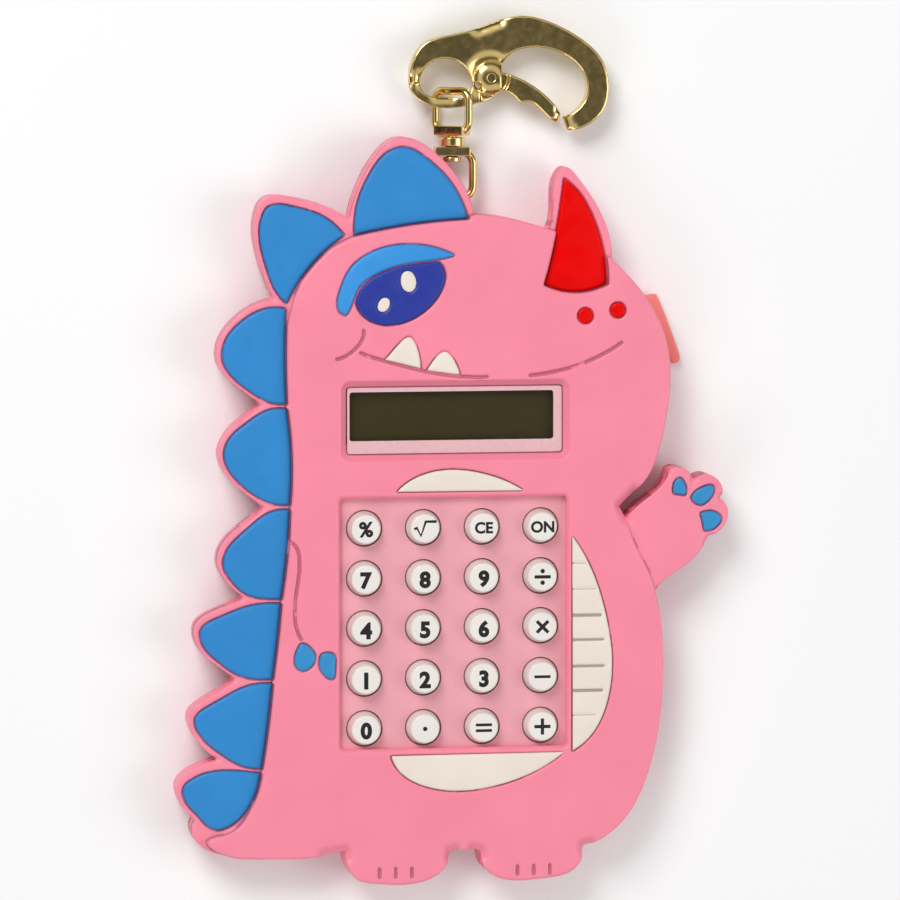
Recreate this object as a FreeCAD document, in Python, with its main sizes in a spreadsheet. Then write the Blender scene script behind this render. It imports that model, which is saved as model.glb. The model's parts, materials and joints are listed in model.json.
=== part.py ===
import FreeCAD, Part
import math
import os

import Sketcher

# Dinosaur-shaped pocket calculator: a soft sleeve round a hard module, with a
# gold swivel chain and a lobster clasp. Units are mm. The object lies on its
# back: +Z comes out of the key face, +Y points to the dinosaur's head, z = 0
# is the desk, and x = y = 0 is the middle of the key block's width.

doc = FreeCAD.newDocument("dino_calculator")
V = FreeCAD.Vector

# ---------------------------------------------------------------- sizes
SIZES = [
    ("fig_w", 95.0), ("fig_l", 126.8), ("body_top", 9.6), ("fin_top", 8.0),
    ("arm_top", 8.8), ("fin_low", 2.4), ("back_t", 1.6), ("pad_sink", 0.6),
    ("pad_rise", 0.15), ("pad_gap", 0.18), ("line_w", 0.55), ("line_d", 0.55),
    ("mod_w", 47.0), ("mod_l", 73.0), ("mod_mid", -1.5), ("mod_top", 7.9),
    ("mod_cnr", 3.0), ("shell_t", 1.0), ("wall_t", 1.2), ("split_z", 4.2),
    ("lip", 2.3), ("lip_gap", 0.3), ("back_z", 0.4),
    ("win_w", 38.9), ("win_l", 42.7), ("win_x", 0.05), ("win_y", -9.85),
    ("scr_w", 37.2), ("scr_l", 11.6), ("scr_x", 0.3),
    ("scr_y", 24.7), ("scr_edge", 1.1), ("lens_w", 36.2), ("lens_l", 9.5),
    ("lens_t", 0.8), ("lcd_x", -0.2), ("lcd_y", 25.4), ("view_w", 35.0),
    ("view_l", 8.3), ("frame_t", 0.4), ("glass_w", 39.0), ("glass_l", 12.4), ("glass_t", 1.4),
    ("key_r", 2.85), ("key_tip_r", 2.5), ("key_top", 10.2), ("key_gap", 0.3),
    ("key_skirt", 0.95), ("skirt_t", 0.6), ("key_bore", 2.1), ("key_roof", 1.2),
    ("pitch_x", 10.1), ("pitch_y", 8.54), ("row_one", 6.4), ("key_go", 1.0),
    ("pcb_z", 3.6), ("pcb_t", 1.0), ("mat_t", 0.4), ("nub_r", 1.7),
    ("cell_d", 11.6), ("cell_t", 3.05), ("cell_x", -8.0), ("cell_y", 25.3),
    ("screw_r", 0.7), ("wire_r", 0.7), ("chain_x", 0.6),
    ("chain_z", 3.4), ("lug_w", 2.6), ("lug_y", 62.0), ("loop_w", 7.2),
    ("loop_y", 70.0), ("post_r", 0.9), ("link_w", 7.0), ("link_low", 73.5),
    ("link_high", 80.2), ("link_turn", 45.0), ("clasp_t", 3.0), ("band_t", 1.8),
    ("gate_x", 7.2), ("gate_y", 82.4), ("pin_r", 0.6), ("fit", 0.05),
    ("mid_x", 0.172), ("mid_y", 19.153),
]

sheet = doc.addObject("Spreadsheet::Sheet", "Sizes")
for row, (name, value) in enumerate(SIZES, start=1):
    sheet.set("A%d" % row, name)
    sheet.set("B%d" % row, str(value))
    sheet.setAlias("B%d" % row, name)
doc.recompute()


def P(name):
    return float(getattr(sheet, name))


SX = P("fig_w") / 95.0
SY = P("fig_l") / 126.8
NODES = []


# ---------------------------------------------------------------- helpers
def new_body(label):
    b = doc.addObject("PartDesign::Body", label)
    b.Label = label
    b.AllowCompound = True
    NODES.append(b)
    return b


def plane(b, role):
    for f in b.Origin.OriginFeatures:
        if f.Role == role:
            return f
    raise RuntimeError("no plane " + role)


def cell(text):
    # Write a size expression with the sheet's name in front of each alias.
    out = text
    for name in sorted((n for n, v in SIZES), key=len, reverse=True):
        out = out.replace(name, "@" + str([n for n, v in SIZES].index(name)) + "@")
    for i, (name, value) in enumerate(SIZES):
        out = out.replace("@%d@" % i, "Sizes." + name)
    return out


def num(text):
    if isinstance(text, (int, float)):
        return float(text)
    return float(size_of(text))


def size_of(text):
    # Sum of signed terms, each a number, a name, or name*number.
    total = 0.0
    for term in text.replace("-", "+-").split("+"):
        term = term.strip()
        if not term:
            continue
        sign = 1.0
        if term.startswith("-"):
            sign = -1.0
            term = term[1:].strip()
        value = 1.0
        for factor in term.split("*"):
            factor = factor.strip()
            try:
                value *= float(factor)
            except ValueError:
                value *= P(factor)
        total += sign * value
    return total


def sketch(b, z="0", role="XY_Plane"):
    s = doc.addObject("Sketcher::SketchObject", b.Label + "_sketch")
    b.addObject(s)
    s.AttachmentSupport = [(plane(b, role), "")]
    s.MapMode = "FlatFace"
    if isinstance(z, str):
        s.AttachmentOffset = FreeCAD.Placement(V(0, 0, num(z)), FreeCAD.Rotation())
        s.setExpression("AttachmentOffset.Base.z", cell(z))
    else:
        s.AttachmentOffset = FreeCAD.Placement(V(0, 0, z), FreeCAD.Rotation())
    return s


def pad(b, s, length, down=False):
    f = b.newObject("PartDesign::Pad", b.Label + "_pad")
    f.Profile = s
    f.Length = num(length)
    if isinstance(length, str):
        f.setExpression("Length", cell(length))
    f.Reversed = down
    s.Visibility = False
    doc.recompute()
    return f


def pocket(b, s, length, up=False):
    before = b.Shape.Volume
    f = b.newObject("PartDesign::Pocket", b.Label + "_cut")
    f.Profile = s
    f.Length = num(length)
    if isinstance(length, str):
        f.setExpression("Length", cell(length))
    f.Reversed = up
    s.Visibility = False
    doc.recompute()
    if not b.Shape.Volume < before - 1e-4:
        raise RuntimeError("cut removes nothing in " + b.Label)
    return f


def curve(s, runs):
    # Each run is a list of points: two make a line, more make a smooth curve.
    for pts in runs:
        vs = [V(x, y, 0) for x, y in pts]
        if len(vs) == 2:
            s.addGeometry(Part.LineSegment(vs[0], vs[1]), False)
        else:
            c = Part.BSplineCurve()
            c.interpolate(vs)
            s.addGeometry(c, False)


def close(runs):
    # Join every run to the next one, and the last to the first.
    out = []
    for i, run in enumerate(runs):
        pts = list(run)
        nxt = runs[(i + 1) % len(runs)][0]
        if pts[-1] != nxt:
            pts_end = pts[-1]
            out.append(pts)
            out.append([pts_end, nxt])
        else:
            out.append(pts)
    return out


def scaled(runs):
    return [[(x * SX, y * SY) for x, y in run] for run in runs]


def area(pts):
    a = 0.0
    for i, p in enumerate(pts):
        q = pts[(i + 1) % len(pts)]
        a += p[0] * q[1] - q[0] * p[1]
    return a / 2.0


def inset(runs, d):
    # Move a closed outline inward by d, keeping its runs.
    runs = close(runs)
    pts = []
    for run in runs:
        pts += run[:-1]
    turn = 1.0 if area(pts) > 0 else -1.0
    n = len(pts)
    moved = []
    for i in range(n):
        p0 = pts[i - 1]
        p1 = pts[i]
        p2 = pts[(i + 1) % n]
        l1 = math.hypot(p1[0] - p0[0], p1[1] - p0[1])
        l2 = math.hypot(p2[0] - p1[0], p2[1] - p1[1])
        n1 = (-(p1[1] - p0[1]) / l1 * turn, (p1[0] - p0[0]) / l1 * turn)
        n2 = (-(p2[1] - p1[1]) / l2 * turn, (p2[0] - p1[0]) / l2 * turn)
        k = 1.0 + n1[0] * n2[0] + n1[1] * n2[1]
        k = max(k, 0.35)
        moved.append((p1[0] + (n1[0] + n2[0]) * d / k, p1[1] + (n1[1] + n2[1]) * d / k))
    out = []
    at = 0
    for run in runs:
        m = len(run) - 1
        out.append([moved[(at + j) % n] for j in range(m + 1)])
        at += m
    return out


def ribbon(pts, w):
    # A groove of width w that follows a line of points.
    w = num(w)
    left = []
    right = []
    for i, p in enumerate(pts):
        a = pts[max(i - 1, 0)]
        b = pts[min(i + 1, len(pts) - 1)]
        l = math.hypot(b[0] - a[0], b[1] - a[1])
        nx = -(b[1] - a[1]) / l * w / 2
        ny = (b[0] - a[0]) / l * w / 2
        left.append((p[0] + nx, p[1] + ny))
        right.append((p[0] - nx, p[1] - ny))
    right.reverse()
    return [left, [left[-1], right[0]], right, [right[-1], left[0]]]


def fix(s, kind, args, expr):
    i = s.addConstraint(Sketcher.Constraint(kind, *args, num(expr)))
    if isinstance(expr, str):
        s.setExpression("Constraints[%d]" % i, cell(expr))


def rect(s, w, l, x="0", y="0", r=0.0):
    # A rectangle about (x, y), with rounded corners if r is given.
    wx = num(w)
    ly = num(l)
    cx = num(x)
    cy = num(y)
    x0 = cx - wx / 2
    x1 = cx + wx / 2
    y0 = cy - ly / 2
    y1 = cy + ly / 2
    if r:
        k = r
        pts = [(x0 + k, y0, x1 - k, y0), (x1, y0 + k, x1, y1 - k),
               (x1 - k, y1, x0 + k, y1), (x0, y1 - k, x0, y0 + k)]
        mids = [(x1 - k, y0 + k, -90), (x1 - k, y1 - k, 0),
                (x0 + k, y1 - k, 90), (x0 + k, y0 + k, 180)]
        for a, m in zip(pts, mids):
            s.addGeometry(Part.LineSegment(V(a[0], a[1], 0), V(a[2], a[3], 0)), False)
            c = Part.Circle(V(m[0], m[1], 0), V(0, 0, 1), k)
            s.addGeometry(Part.ArcOfCircle(c, math.radians(m[2]), math.radians(m[2] + 90)), False)
        return
    first = s.GeometryCount
    corners = [(x0, y0), (x1, y0), (x1, y1), (x0, y1)]
    for i in range(4):
        a = corners[i]
        b = corners[(i + 1) % 4]
        s.addGeometry(Part.LineSegment(V(a[0], a[1], 0), V(b[0], b[1], 0)), False)
    for i in range(4):
        s.addConstraint(Sketcher.Constraint("Coincident", first + i, 2, first + (i + 1) % 4, 1))
    s.addConstraint(Sketcher.Constraint("Horizontal", first))
    s.addConstraint(Sketcher.Constraint("Horizontal", first + 2))
    s.addConstraint(Sketcher.Constraint("Vertical", first + 1))
    s.addConstraint(Sketcher.Constraint("Vertical", first + 3))
    fix(s, "DistanceX", (first, 1, first, 2), w)
    fix(s, "DistanceY", (first + 1, 1, first + 1, 2), l)
    fix(s, "DistanceX", (-1, 1, first, 1), x0)
    fix(s, "DistanceY", (-1, 1, first, 1), y0)


def circle(s, x, y, r):
    g = s.addGeometry(Part.Circle(V(num(x), num(y), 0), V(0, 0, 1), num(r)), False)
    fix(s, "Radius", (g,), r)
    fix(s, "DistanceX", (-1, 1, g, 3), x)
    fix(s, "DistanceY", (-1, 1, g, 3), y)


def ellipse(cx, cy, a, b, turn, n=12):
    t0 = math.radians(turn)
    pts = []
    for i in range(n):
        t = 2 * math.pi * i / n
        u = a * math.cos(t)
        v = b * math.sin(t)
        pts.append((cx + u * math.cos(t0) - v * math.sin(t0),
                    cy + u * math.sin(t0) + v * math.cos(t0)))
    half = n // 2
    return [pts[:half + 1], pts[half:] + [pts[0]]]


# ---------------------------------------------------------------- outlines
# Main body: back of the head, spine, tail root, feet, flank, jaw, head.
BODY = scaled([
    [(4.0, 59.5), (1.0, 58.9), (-8.7, 57.9), (-16.8, 56.0), (-22.7, 52.6),
     (-26.2, 47.9), (-28.2, 41.5), (-28.9, 33.0), (-28.4, 25.0), (-27.8, 16.0),
     (-28.3, 5.0), (-29.6, -6.0), (-30.9, -18.0), (-32.4, -31.0), (-34.4, -40.2),
     (-37.0, -44.2), (-40.5, -45.6)],
    [(-40.5, -45.6), (-42.2, -46.6), (-39.6, -48.7), (-34.0, -49.6), (-26.0, -49.7),
     (-18.4, -48.7)],
    [(-18.4, -48.7), (-18.2, -51.2), (-16.6, -53.5), (-13.5, -54.3), (-6.0, -54.3),
     (-2.2, -52.6), (-0.4, -49.2)],
    [(-0.4, -49.2), (2.2, -48.7), (4.9, -49.2)],
    [(4.9, -49.2), (5.5, -52.2), (8.6, -54.0), (14.6, -54.1), (20.6, -52.8),
     (22.6, -48.8)],
    [(22.6, -48.8), (26.0, -47.2), (30.4, -43.0), (33.2, -37.4), (35.4, -28.8),
     (36.2, -19.5), (35.9, -10.8), (35.0, -5.6)],
    [(35.0, -5.6), (33.2, -0.6), (31.0, 3.8), (30.0, 7.4)],
    [(30.0, 7.4), (28.8, 9.5)],
    [(28.8, 9.5), (31.4, 12.1), (33.6, 14.8), (35.2, 18.4), (36.6, 24.2),
     (37.4, 31.6), (36.7, 37.7), (34.3, 43.4), (30.4, 48.6), (27.4, 51.6)],
    [(27.4, 51.6), (21.0, 55.2), (13.6, 57.8), (8.1, 59.1), (4.0, 59.5)],
])

# Back fins: each run is one fin's rim from notch to notch.
FINS = scaled([
    [(4.0, 59.5), (2.9, 62.6), (0.6, 66.3), (-2.8, 69.9), (-6.4, 72.2),
     (-9.2, 72.5), (-12.4, 70.3), (-15.2, 66.1), (-16.9, 61.9), (-17.6, 58.9)],
    [(-17.6, 58.9), (-22.2, 61.3), (-27.4, 62.6), (-32.0, 62.4), (-33.5, 59.6),
     (-33.6, 55.2), (-32.5, 50.6), (-30.4, 45.5)],
    [(-30.4, 45.5), (-34.1, 44.2), (-37.4, 41.7), (-39.8, 38.0), (-40.0, 35.0),
     (-38.0, 31.8), (-35.0, 29.4), (-32.6, 27.6)],
    [(-32.6, 27.6), (-35.8, 25.3), (-38.7, 22.3), (-39.8, 19.2), (-38.6, 15.8),
     (-35.6, 12.7), (-32.2, 10.1)],
    [(-32.2, 10.1), (-36.3, 6.9), (-39.6, 3.3), (-40.1, 0.6), (-38.6, -2.4),
     (-35.7, -5.1)],
    [(-35.7, -5.1), (-40.4, -7.2), (-44.0, -10.0), (-43.8, -12.8), (-40.8, -16.3),
     (-37.2, -18.9)],
    [(-37.2, -18.9), (-41.6, -21.9), (-45.2, -25.4), (-44.4, -28.2), (-40.0, -32.6)],
    [(-40.0, -32.6), (-44.6, -34.2), (-47.2, -36.9), (-46.6, -39.9), (-44.2, -42.8)],
    [(-44.2, -42.8), (-44.8, -44.7), (-43.4, -47.1), (-39.6, -48.9), (-34.0, -49.8),
     (-26.0, -49.9)],
    [(-26.0, -49.9), (-22.0, -44.0)],
    [(-22.0, -44.0), (-22.0, 46.0)],
    [(-22.0, 46.0), (-12.0, 54.0)],
    [(-12.0, 54.0), (4.0, 55.0)],
    [(4.0, 55.0), (4.0, 59.5)],
])

HORN_RIM = scaled([
    [(16.6, 57.0), (17.3, 61.6), (17.9, 65.8), (19.4, 67.4), (21.4, 65.8),
     (24.6, 61.3), (26.6, 57.0), (27.5, 51.6)],
    [(27.5, 51.6), (26.0, 49.0)],
    [(26.0, 49.0), (16.0, 53.0)],
    [(16.0, 53.0), (16.6, 57.0)],
])

ARM = scaled([
    [(35.0, -5.6), (36.2, -3.4), (39.8, -1.0), (42.7, 1.7), (44.2, 4.2)],
    [(44.2, 4.2), (46.4, 5.4), (47.6, 7.9), (46.2, 10.6)],
    [(46.2, 10.6), (46.6, 12.4), (45.1, 14.4), (41.4, 13.7)],
    [(41.4, 13.7), (40.8, 15.2), (39.1, 16.1), (37.3, 15.8)],
    [(37.3, 15.8), (36.2, 13.2), (33.1, 10.5), (30.0, 7.4)],
    [(30.0, 7.4), (28.0, 4.0)],
    [(28.0, 4.0), (30.0, -5.0)],
    [(30.0, -5.0), (35.0, -5.6)],
])

FIN_PADS = [scaled(r) for r in [
    [[(-16.9, 55.9), (-16.3, 62.0), (-14.0, 67.0), (-11.1, 70.3), (-8.4, 71.1),
      (-4.2, 69.1), (-0.7, 65.8), (1.8, 61.8), (2.9, 58.6)],
     [(2.9, 58.6), (-8.0, 57.6), (-16.9, 55.9)]],
    [[(-18.2, 56.1), (-22.6, 59.8), (-27.2, 61.2), (-31.5, 61.2), (-32.8, 58.9),
      (-33.0, 55.2), (-31.9, 50.7), (-30.0, 46.2), (-28.2, 44.4)],
     [(-28.2, 44.4), (-25.6, 48.9), (-22.1, 52.9), (-18.2, 56.1)]],
    [[(-28.2, 43.9), (-32.4, 43.9), (-36.2, 41.8), (-39.1, 38.1), (-39.4, 35.2),
      (-37.4, 31.9), (-34.4, 29.5), (-31.6, 27.9), (-28.2, 27.5)],
     [(-28.2, 27.5), (-28.4, 35.0), (-28.2, 43.9)]],
    [[(-28.2, 27.0), (-32.0, 26.7), (-35.4, 24.6), (-38.4, 21.8), (-39.2, 19.0),
      (-37.9, 15.8), (-34.9, 12.8), (-31.4, 10.8), (-27.7, 10.4)],
     [(-27.7, 10.4), (-27.4, 17.0), (-28.2, 27.0)]],
    [[(-27.7, 9.9), (-31.8, 9.3), (-35.6, 6.4), (-38.8, 3.0), (-39.4, 0.5),
      (-38.0, -2.3), (-35.2, -4.8), (-32.4, -5.5), (-29.2, -5.6)],
     [(-29.2, -5.6), (-28.2, 2.0), (-27.7, 9.9)]],
    [[(-29.2, -6.0), (-35.2, -6.4), (-39.8, -8.1), (-43.3, -10.5), (-43.1, -12.7),
      (-40.3, -16.0), (-36.7, -18.5), (-33.8, -19.2), (-30.7, -19.2)],
     [(-30.7, -19.2), (-29.8, -12.0), (-29.2, -6.0)]],
    [[(-30.7, -19.6), (-35.4, -20.0), (-40.8, -22.7), (-44.4, -25.8), (-43.7, -28.0),
      (-39.4, -32.1), (-36.8, -33.7), (-32.6, -34.5)],
     [(-32.6, -34.5), (-31.5, -27.0), (-30.7, -19.6)]],
    [[(-32.7, -34.9), (-39.8, -34.3), (-44.2, -35.4), (-46.4, -37.5), (-45.9, -39.8),
      (-43.6, -42.5), (-41.9, -44.3), (-40.0, -44.9)],
     [(-40.0, -44.9), (-36.4, -43.0), (-34.0, -39.6), (-32.7, -34.9)]],
]]

HORN = scaled([
    [(19.0, 65.8), (18.2, 60.0), (17.1, 53.9), (15.4, 47.4)],
    [(15.4, 47.4), (21.0, 46.0), (26.7, 47.4)],
    [(26.7, 47.4), (26.2, 53.2), (24.3, 59.1), (21.7, 63.5), (19.0, 65.8)],
])
BROW = scaled([
    [(-18.3, 42.4), (-19.8, 43.3), (-19.5, 47.3), (-17.6, 51.0), (-13.7, 53.7),
     (-8.2, 54.8), (-3.2, 54.2), (0.6, 52.6)],
    [(0.6, 52.6), (-3.2, 51.7), (-8.0, 51.1), (-12.8, 49.6), (-16.2, 46.9),
     (-17.3, 44.2), (-18.3, 42.4)],
])
EYE = scaled([
    [(-17.0, 45.0), (-15.4, 42.2), (-12.1, 40.8), (-8.4, 41.2), (-4.6, 43.3),
     (-2.0, 46.5), (-1.3, 49.6), (-2.6, 51.9)],
    [(-2.6, 51.9), (-8.0, 51.25), (-12.9, 49.75), (-16.0, 47.3), (-17.0, 45.0)],
])
TEETH = [scaled(r) for r in [
    [[(-12.2, 35.0), (-9.8, 37.6), (-7.4, 39.1), (-6.2, 37.4), (-5.5, 33.3)],
     [(-5.5, 33.3), (-8.6, 34.1), (-12.2, 35.0)]],
    [[(-4.9, 33.1), (-3.4, 35.3), (-1.5, 36.6), (0.1, 35.2), (1.3, 32.2)],
     [(1.3, 32.2), (-1.8, 32.6), (-4.9, 33.1)]],
]]
HAND_CLAWS = [scaled(r) for r in [
    [[(37.9, 11.4), (37.8, 12.8), (38.3, 14.0), (39.2, 14.5), (40.1, 13.5), (40.5, 12.0),
      (40.1, 11.1)],
     [(40.1, 11.1), (37.9, 11.4)]],
    [[(40.9, 10.9), (41.9, 12.2), (43.3, 12.9), (45.1, 13.0), (45.3, 12.0), (44.4, 10.3),
      (43.0, 9.4)],
     [(43.0, 9.4), (41.8, 9.7), (40.9, 10.9)]],
    [[(42.5, 8.3), (43.9, 8.7), (45.5, 8.5), (46.6, 7.3), (45.9, 5.9), (44.4, 5.0),
      (43.2, 5.1)],
     [(43.2, 5.1), (42.9, 6.8), (42.5, 8.3)]],
]]
ARM_CLAWS = [scaled(r) for r in [
    [[(-26.2, -12.6), (-27.3, -14.6), (-27.2, -17.0), (-25.9, -17.8), (-24.3, -17.0),
      (-23.5, -15.6), (-24.0, -14.0), (-26.2, -12.6)]],
    [[(-22.9, -14.7), (-21.5, -14.3), (-20.3, -14.8), (-20.1, -16.8), (-20.7, -19.3),
      (-22.0, -18.8), (-23.2, -17.0), (-22.9, -14.7)]],
]]
BELLY = [scaled(r) for r in [
    [[(-10.1, 12.5), (-8.8, 13.8), (-5.6, 15.6), (-0.6, 16.5), (4.9, 15.8), (9.7, 14.1),
      (12.3, 12.5)],
     [(12.3, 12.5), (-10.1, 12.5)]],
    [[(20.3, 5.0), (23.6, -0.3), (26.4, -8.7), (27.5, -16.0), (26.8, -23.4),
      (24.2, -29.2), (20.3, -32.5)],
     [(20.3, -32.5), (20.3, 5.0)]],
    [[(19.4, -32.2), (13.4, -36.0), (7.4, -38.0), (0.8, -38.8), (-4.6, -38.0),
      (-9.0, -35.7), (-11.1, -32.2)],
     [(-11.1, -32.2), (19.4, -32.2)]],
]]
GROOVES = [scaled([r])[0] for r in [
    [(-15.4, 40.4), (-15.9, 38.1), (-17.0, 36.8), (-18.8, 35.6), (-20.3, 35.2)],
    [(-16.2, 36.4), (-13.9, 35.5), (-11.5, 34.8), (-5.5, 33.2), (0.2, 32.2), (6.0, 32.0)],
    [(12.8, 32.1), (17.0, 32.7), (22.7, 34.3), (26.7, 36.2), (29.1, 37.7)],
    [(-28.6, 4.7), (-26.9, 3.4), (-26.4, 1.0), (-27.1, -5.2), (-27.1, -9.6),
     (-26.0, -12.4)],
]]
TOES = [-12.8, -10.0, -7.2, 11.0, 13.8, 16.6]
BELLY_LINES = [(0.05, 23.0), (-4.4, 24.7), (-8.9, 25.5), (-13.1, 26.0),
               (-17.6, 26.1), (-21.8, 25.8), (-26.0, 24.7)]
BELLY_SIDE = 20.0

KEY_X = [P("pitch_x") * SX * (i - 1.5) for i in range(4)]
KEY_Y = [P("row_one") * SY - P("pitch_y") * SY * i for i in range(5)]
MW = P("mod_w") * SX
ML = P("mod_l") * SY
MY = P("mod_mid") * SY

# ---------------------------------------------------------------- sleeve
sleeve = new_body("sleeve")
s = sketch(sleeve, "fin_low")
curve(s, close(FINS))
pad(sleeve, s, "fin_top-fin_low")
s = sketch(sleeve, "fin_low")
curve(s, close(HORN_RIM))
pad(sleeve, s, "fin_top-fin_low")
s = sketch(sleeve, "fin_low")
curve(s, close(ARM))
pad(sleeve, s, "arm_top-fin_low")
s = sketch(sleeve, "fin_low")
rect(s, 12.4, 15.2 * SY, P("chain_x") + 0.2, 67.0 * SY)
pocket(sleeve, s, "chain_z-fin_low+1.8", up=True)
s = sketch(sleeve, "back_t")
curve(s, close(BODY))
pad(sleeve, s, "body_top-back_t")
s = sketch(sleeve, "back_t")
rect(s, MW + 0.1, ML + 0.1, 0, MY, r=P("mod_cnr"))
pocket(sleeve, s, "mod_top-back_t", up=True)
s = sketch(sleeve, "body_top")
rect(s, P("win_w") * SX, P("win_l") * SY, P("win_x") * SX, P("win_y") * SY, r=0.6)
rect(s, P("scr_w") * SX, P("scr_l") * SY, P("scr_x") * SX, P("scr_y") * SY, r=0.6)
cut = pocket(sleeve, s, "body_top-mod_top+0.1")
lips = []
for i, e in enumerate(sleeve.Shape.Edges, start=1):
    b = e.BoundBox
    inside = b.YMin > (P("scr_y") - P("scr_l") / 2) * SY - 0.01
    inside = inside and b.YMax < (P("scr_y") + P("scr_l") / 2) * SY + 0.01
    inside = inside and max(-b.XMin, b.XMax) < P("scr_w") * SX / 2 + P("scr_x") * SX + 0.01
    if inside and b.ZMin > P("body_top") - 0.01:
        lips.append("Edge%d" % i)
slope = sleeve.newObject("PartDesign::Chamfer", "screen_slope")
slope.Base = (cut, lips)
slope.Size = P("scr_edge")
slope.setExpression("Size", "Sizes.scr_edge")
doc.recompute()
for runs_list, top in ((FIN_PADS, "fin_top"), ([HORN], "fin_top"), (HAND_CLAWS, "arm_top")):
    s = sketch(sleeve, top + "-pad_sink")
    for runs in runs_list:
        curve(s, close(runs))
    pocket(sleeve, s, 3.0, up=True)
s = sketch(sleeve, "body_top")
for runs_list in ([BROW], TEETH, ARM_CLAWS, BELLY):
    for runs in runs_list:
        curve(s, close(runs))
for x, y in ((22.6, 42.2), (28.2, 43.1)):
    circle(s, x * SX, y * SY, 1.5)
pocket(sleeve, s, "pad_sink")
s = sketch(sleeve, "body_top")
curve(s, close(EYE))
pocket(sleeve, s, "pad_sink")
s = sketch(sleeve, "body_top")
for g in GROOVES:
    curve(s, ribbon(g, "line_w"))
for x in TOES:
    curve(s, ribbon([(x * SX, -51.4 * SY), (x * SX, -53.5 * SY)], "line_w"))
pocket(sleeve, s, "line_d")
s = sketch(sleeve, P("chain_z") - 1.6)
rect(s, "lug_w", 6.6 * SY, "chain_x", 60.6 * SY)
pad(sleeve, s, 3.4)
s = sketch(sleeve, P("chain_x") - 3.0, "YZ_Plane")
circle(s, P("lug_y") * SY, "chain_z", "wire_r+0.3")
pocket(sleeve, s, 6.0, up=True)

# ---------------------------------------------------------------- back cover
back = new_body("back_cover")
s = sketch(back, "0")
curve(s, inset(BODY, 0.5))
pad(back, s, "back_t")
s = sketch(back, "0")
rect(s, MW - 2 * P("lip"), ML - 2 * P("lip"), 0, MY, r=P("mod_cnr"))
pocket(back, s, "back_t", up=True)

tab_runs = scaled([
    [(30.0, 46.4), (34.6, 45.0)],
    [(34.6, 45.0), (36.4, 45.3)],
    [(36.4, 45.3), (38.5, 40.2), (40.4, 35.0)],
    [(40.4, 35.0), (40.3, 33.6), (39.2, 33.3)],
    [(39.2, 33.3), (37.4, 35.6), (34.6, 37.9), (30.0, 40.0)],
    [(30.0, 40.0), (30.0, 46.4)],
])
s = sketch(back, "0")
curve(s, tab_runs)
pocket(back, s, "back_t", up=True)
tab = new_body("side_tab")
s = sketch(tab, "0")
curve(s, tab_runs)
pad(tab, s, "back_t-0.1")


# ---------------------------------------------------------------- coloured fills
def fill(label, runs_list, floor):
    b = new_body(label)
    s = sketch(b, floor)
    for runs in runs_list:
        curve(s, inset(runs, P("pad_gap")))
    pad(b, s, "pad_sink+pad_rise")
    return b


fill("spike_pads", FIN_PADS, "fin_top-pad_sink")
fill("horn_pad", [HORN], "fin_top-pad_sink")
fill("hand_claws", HAND_CLAWS, "arm_top-pad_sink")
fill("arm_claws", ARM_CLAWS, "body_top-pad_sink")
fill("brow_pad", [BROW], "body_top-pad_sink")
eye = fill("eye_pad", [EYE], "body_top-pad_sink")
fill("teeth", TEETH, "body_top-pad_sink")
belly = fill("belly_pads", BELLY, "body_top-pad_sink")
s = sketch(belly, "body_top+pad_rise")
for y, x in BELLY_LINES:
    curve(s, ribbon([(BELLY_SIDE * SX, y * SY), (x * SX, y * SY)], 0.4))
pocket(belly, s, 0.4)

GLINTS = [(-7.8, 48.3, 1.9, 1.4, 100), (-12.0, 44.4, 1.4, 1.05, 60)]
s = sketch(eye, "body_top+pad_rise")
for x, y, a, b, turn in GLINTS:
    curve(s, scaled(ellipse(x, y, a, b, turn)))
pocket(eye, s, 0.3)
glint = new_body("eye_glints")
s = sketch(glint, "body_top+pad_rise-0.3")
for x, y, a, b, turn in GLINTS:
    curve(s, scaled(ellipse(x, y, a - 0.05, b - 0.05, turn)))
pad(glint, s, 0.4)

nostrils = new_body("nostrils")
s = sketch(nostrils, "body_top-pad_sink")
for x, y in ((22.6, 42.2), (28.2, 43.1)):
    circle(s, x * SX, y * SY, 1.5 - P("pad_gap"))
pad(nostrils, s, "pad_sink+pad_rise")

# ---------------------------------------------------------------- module case
BOSS_X = 17.5 * SX
BOSS = [(-BOSS_X, 14.8 * SY), (BOSS_X, 14.8 * SY), (-BOSS_X, -33.0 * SY), (BOSS_X, -33.0 * SY)]

front = new_body("module_front")
s = sketch(front, "split_z")
rect(s, MW, ML, 0, MY, r=P("mod_cnr"))
pad(front, s, "mod_top-split_z")
s = sketch(front, "split_z")
rect(s, MW - 2 * P("wall_t"), ML - 2 * P("wall_t"), 0, MY, r=P("mod_cnr") - P("wall_t"))
pocket(front, s, "mod_top-split_z-shell_t", up=True)
s = sketch(front, "split_z+0.6")
for x, y in BOSS:
    circle(s, x, y, 1.6)
pad(front, s, "mod_top-split_z-1.1")
s = sketch(front, "split_z+0.6")
for x, y in BOSS:
    circle(s, x, y, 0.75)
pocket(front, s, 2.4, up=True)
s = sketch(front, "mod_top")
for x in KEY_X:
    for y in KEY_Y:
        circle(s, x, y, "key_r+key_gap")
rect(s, "lens_w", "lens_l", "lcd_x", P("lcd_y") * SY)
pocket(front, s, "shell_t")

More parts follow.
